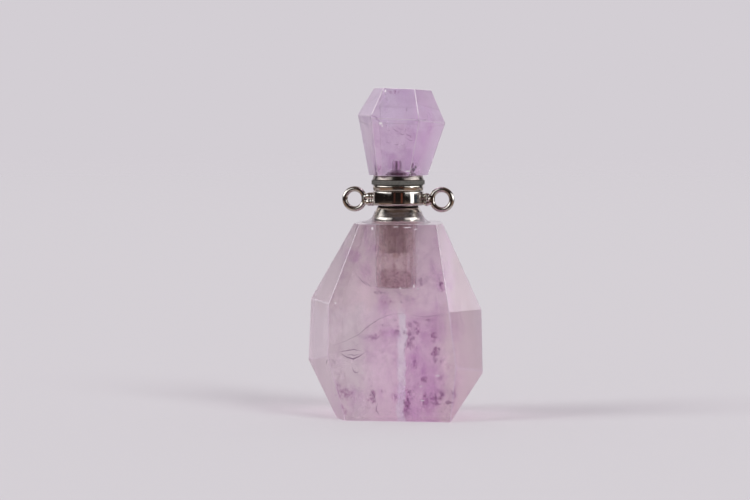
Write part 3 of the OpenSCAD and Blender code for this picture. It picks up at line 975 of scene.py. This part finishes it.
def floor():
    """A pale paper floor that fades out far from the object, so that no horizon shows."""
    form = bmesh.new()
    bmesh.ops.create_circle(form, cap_ends=True, segments=96, radius=1.6)
    made = linked("paper_floor", mesh_of(form, "paper_floor"))
    paper, tree, output = new_material("pale_paper")
    place = add(tree, "TexCoord").outputs["Object"]
    away = add(tree, "VectorMath", {0: place}, operation="LENGTH").outputs["Value"]
    fade = remap(tree, away, 0.25, 1.3, interpolation_type="SMOOTHSTEP")
    matt = add(tree, "BsdfDiffuse", {"Color": srgb("c9c7c9")})
    clear = add(tree, "BsdfTransparent")
    mix = add(tree, "MixShader", {0: fade, 1: matt.outputs[0], 2: clear.outputs[0]})
    made.data.materials.append(finished(paper, output, mix))
    made.visible_glossy = False


def compass(azimuth, elevation):
    """Unit vector to a place on the sky. Azimuth 0 is the front, where -Y points, and 90 is +X."""
    a, e = math.radians(azimuth), math.radians(elevation)
    return (math.sin(a) * math.cos(e), -math.cos(a) * math.cos(e), math.sin(e))


def studio():
    """Pale all round, but mirrors see the dark room in front, two softboxes, the floor and the backdrop."""
    world = bpy.data.worlds.new("studio")
    bpy.context.scene.world = world
    world.use_nodes = True
    tree = world.node_tree
    tree.nodes.clear()
    sight = axes_of(tree, add(tree, "TexCoord").outputs["Generated"])
    forward = maths(tree, "MULTIPLY", sight["Y"], -1)
    round_about = maths(tree, "ARCTAN2", sight["X"], forward)
    height = maths(tree, "ARCSINE", sight["Z"])

    def within(angle, low, high, blur):
        """1 where the angle lies between low and high, fading over blur degrees at both ends."""
        masks = []
        for edge, way in ((low, 1), (high, -1)):
            step = math.radians(blur) / 2 * way
            masks.append(remap(tree, angle, math.radians(edge) - step, math.radians(edge) + step,
                               interpolation_type="SMOOTHSTEP"))
        return maths(tree, "MULTIPLY", *masks)

    soft, hot = (1.25, 1.25, 1.28, 1), (3.6, 3.6, 3.7, 1)
    room = add(tree, "RGB")
    room.outputs[0].default_value = srgb("1d1918")
    seen = room.outputs[0]
    # Panels, each laid over those before it: colour, limits round about and in height, and blur, in degrees
    for colour, sides, heights, blur in (
            (srgb("54453f"), (-200, 200), (44, 95), 8), (srgb("a39a9a"), (-200, 200), (-95, -9), 6),
            (srgb("8d7566"), (-92, 108), (-36, -9), 8), (srgb("2c2320"), (-20, 37), (-37, -6), 8),
            (srgb("bdb6b8"), (-200, 200), (-95, -35), 6), (PALE, (148, 200), (-5.5, 60), 3),
            (PALE, (-200, -127), (-5.5, 60), 3), (srgb("3e4650"), (88, 130), (-6, 4), 4),
            (srgb("6a3c30"), (20, 27), (-12, 10), 3), (srgb("4c302a"), (-12, -5), (-12, 10), 3),
            (soft, (40, 104), (6, 34), 6), (hot, (64, 104), (6, 25), 8),
            ((2.7, 2.7, 2.75, 1), (104, 120), (5.7, 22), 1.6), (hot, (66, 80), (-7, 20), 4),
            (soft, (-106, -24), (7, 35), 6), (hot, (-90, -46), (9, 25), 8)):
        beside = within(round_about, *sides, blur)
        mask = maths(tree, "MULTIPLY", beside, within(height, *heights, blur))
        seen = mixed(tree, mask, seen, colour)
    path = add(tree, "LightPath")
    mirrored = maths(tree, "SUBTRACT", path.outputs["Is Glossy Ray"], path.outputs["Is Transmission Ray"],
                     use_clamp=True)
    pale = add(tree, "Background", {"Color": PALE})
    mirror = add(tree, "Background", {"Color": seen})
    mix = add(tree, "MixShader", {0: mirrored, 1: pale.outputs[0], 2: mirror.outputs[0]})
    add(tree, "OutputWorld", {"Surface": mix.outputs[0]})


def softbox(name, azimuth, elevation, strength):
    """A soft light from far off, so that it falls evenly. Mirrors see its panel in the studio instead."""
    light = bpy.data.lights.new(name, "SUN")
    light.angle = math.radians(22)
    light.energy = strength
    made = linked(name, light)
    made.rotation_euler = Vector(compass(azimuth, elevation)).to_track_quat("Z", "Y").to_euler()
    made.visible_glossy = False


def camera():
    """The photograph's view: from the height of the stopper, a little from the right."""
    lens = bpy.data.cameras.new("camera")
    lens.sensor_width = 36
    lens.lens = 130.94
    lens.clip_start = 0.01
    made = linked("camera", lens)
    side, distance, height = math.radians(7.5), 0.310, 0.0373
    made.location = (math.sin(side) * distance, -math.cos(side) * distance, height)
    made.rotation_euler = (math.radians(90 - 3.3916), 0, math.radians(7.9856))
    bpy.context.scene.camera = made


# Assembly

camera()
studio()
softbox("softbox_left", -67, 42, 1.16)
softbox("softbox_right", 52, 40, 1.16)
floor()
bpy.context.scene.view_settings.view_transform = "Standard"
bpy.context.scene.cycles.volume_bounces = 6

steel = polished_steel("stainless_steel_turned", "d9d2c8", 0.13)
band_steel = polished_steel("stainless_steel_polished", "d6d1cb", 0.06)
cast_steel = polished_steel("stainless_steel_cast", "d8d2ca", 0.12)
bore_wall = ground_amethyst("amethyst_ground_bore", "f2e9e5", "fffdf5", clear=0.86, bend=1.16,
                            dark_foot=BORE_FOOT + 2.0, dark=0.1, dirty=0.9, foot_tint="faf7f9")
stud_wall = ground_amethyst("amethyst_ground_stud_hole", "eee6f0", "f6f2f8", clear=0.95, bend=1.1,
                            dark_foot=CAP_FOOT + 0.75, dark=0.1, dirty=0.4, foot_tint="62444f")
# Ridge finishes: partly real wear, partly painted highlight, strongest above the height change.
ridges = worn_and_highlit_amethyst("amethyst_ridges_wear_and_painted_highlight", 0.02, 0.3, 12.8)
cap_ridges = worn_and_highlit_amethyst("stopper_ridges_wear_and_painted_highlight", 0.02, 0.85, 34.4)
dark_violet = grown_colour("dark_amethyst_specks", "b084b2", 2700.0)
lilac = grown_colour("deep_amethyst_zones", "c650d2", 130.0)
crack_line = grown_colour("healed_crack_lines", "a480aa", 3000.0)
veil = milk("white_veils", "ffffff", 800.0)

cut_stone("body_stone", BORE_R, drill(BORE_R, BORE_FOOT, TABLE_Z + 1, 0.2, end=-1),
          "bottle_stone", "bottle", "amethyst", amethyst(
    "amethyst_polished", change=12.6, far="efe4ec", spots=BODY_SPOTS, glint_spots=BODY_PAINTED_GLINTS, planes=BODY_FRONT,
    lower=[(-9.5, "d3c7d0"), (-4, "dcd5d7"), (-1.6, "e6cddf"), (0.6, "eacde4"), (0.85, "f3eefa"),
           (1.5, "f3eefa"), (1.65, "dfb9d9"), (4.8, "ddb6d5"), (6.2, "e7d1d9"), (8.2, "e3d1d5"),
           (10, "dcccd0")],
    upper=[(-9.5, "d4c7ca"), (-5.5, "d0c2c7"), (-3.2, "edd9df"), (1, "f2dbe5"), (3, "f2d7e8"),
           (6.4, "f4d7ed"), (7, "e0cbd0"), (10, "d9c4c9")]), bore_wall, ridges)
stone_core("body_stone", BORE_R, -2.6, drill(BORE_R + CORE_GAP, BORE_FOOT - CORE_GAP, TABLE_Z + 1, 0, end=-1),
           "body_milk", "bottle", "amethyst", milk("quartz_milk", "fdf8fb", 220.0))
dice = random.Random(11)
in_body, in_cap = behind(BODY_FRONT), behind(CAP_FRONT)
fill("body_stone", (BORE_R, BORE_FOOT, TABLE_Z), "body", "bottle", "amethyst",
     (specks(dice, in_body, BODY_SPECKS, (0.15, 0.7))
      + strewn(dice, in_body, 160, 2.0, 2.6, 0.6, 12.6, (0.15, 7.0)), "_specks", dark_violet),
     (clouds(dice, in_body, LILAC_ZONES, (1.2, 7.5)), "_lilac_zones", lilac),
     (clouds(dice, in_body, PALE_ZONES, (0.6, 3.0)), "_white_veils", veil),
     (cracks(dice, in_body, BODY_CRACKS), "_healed_cracks", crack_line))

cut_stone("stopper_stone", STUD_HOLE_R,
          drill(STUD_HOLE_R, CAP_FOOT - 1, STUD_HOLE_TOP, 0.02, mouth=HOLE_MOUTH_R),
          "cut_stopper_stone", "stopper", "stopper_amethyst", amethyst(
    "amethyst_stopper", change=33.6, far="eee2f4", spots=CAP_SPOTS, glint_spots=CAP_PAINTED_GLINTS, planes=CAP_FRONT,
    lower=[(-4.5, "fff7ff"), (-2.6, "fcecfc"), (-2.3, "ddc2e1"), (1, "dbbedd"), (3, "d1aad5"), (5, "d4afd5")],
    upper=[(-4.5, "e0cee3"), (-2.4, "e3d4ec"), (-1, "e6d5f1"), (1.8, "dec6e9"), (3, "ebcef1"),
           (5, "ebd2f0")]), stud_wall, cap_ridges)
cap_cutter = drill(STUD_HOLE_R + CORE_GAP, CAP_FOOT - 1, STUD_HOLE_TOP + CORE_GAP, 0,
                   mouth=HOLE_MOUTH_R + CORE_GAP)
stone_core("stopper_stone", STUD_HOLE_R, -1.2, cap_cutter,
           "stopper_milk", "stopper", "stopper_amethyst", milk("stopper_quartz_milk", "fbf4fc", 220.0))
fill("stopper_stone", (STUD_HOLE_R, CAP_FOOT, STUD_HOLE_TOP), "stopper", "stopper", "stopper_amethyst",
     (specks(dice, in_cap, CAP_SPECKS, (0.15, 0.6))
      + strewn(dice, in_cap, 20, 0.3, 1.2, 28.2, 35.5, (0.3, 5.0)), "_specks", dark_violet),
     (clouds(dice, in_cap, CAP_ZONES, (1.0, 4.5)), "_lilac_zones", lilac),
     (clouds(dice, in_cap, CAP_PALE, (0.5, 1.6), thick=(0.2, 0.5)), "_white_veils", veil),
     (cracks(dice, in_cap, CAP_CRACKS, depth=0.15), "_healed_cracks", crack_line))

# The neck's groove finish is painted shade.
neck(steel, painted_groove_shade(), polished_steel("stainless_steel_rough_tube", "f6f1ea", 0.4))
collar(band_steel, cast_steel)
# The disc's steel is a darker copy of the turned steel: painted shade.
stopper_metal(steel, polished_steel("stainless_steel_disc_painted_shade", "968e88", 0.2), scored_steel())
gasket(gasket_rubber())
glue(clear_glue())
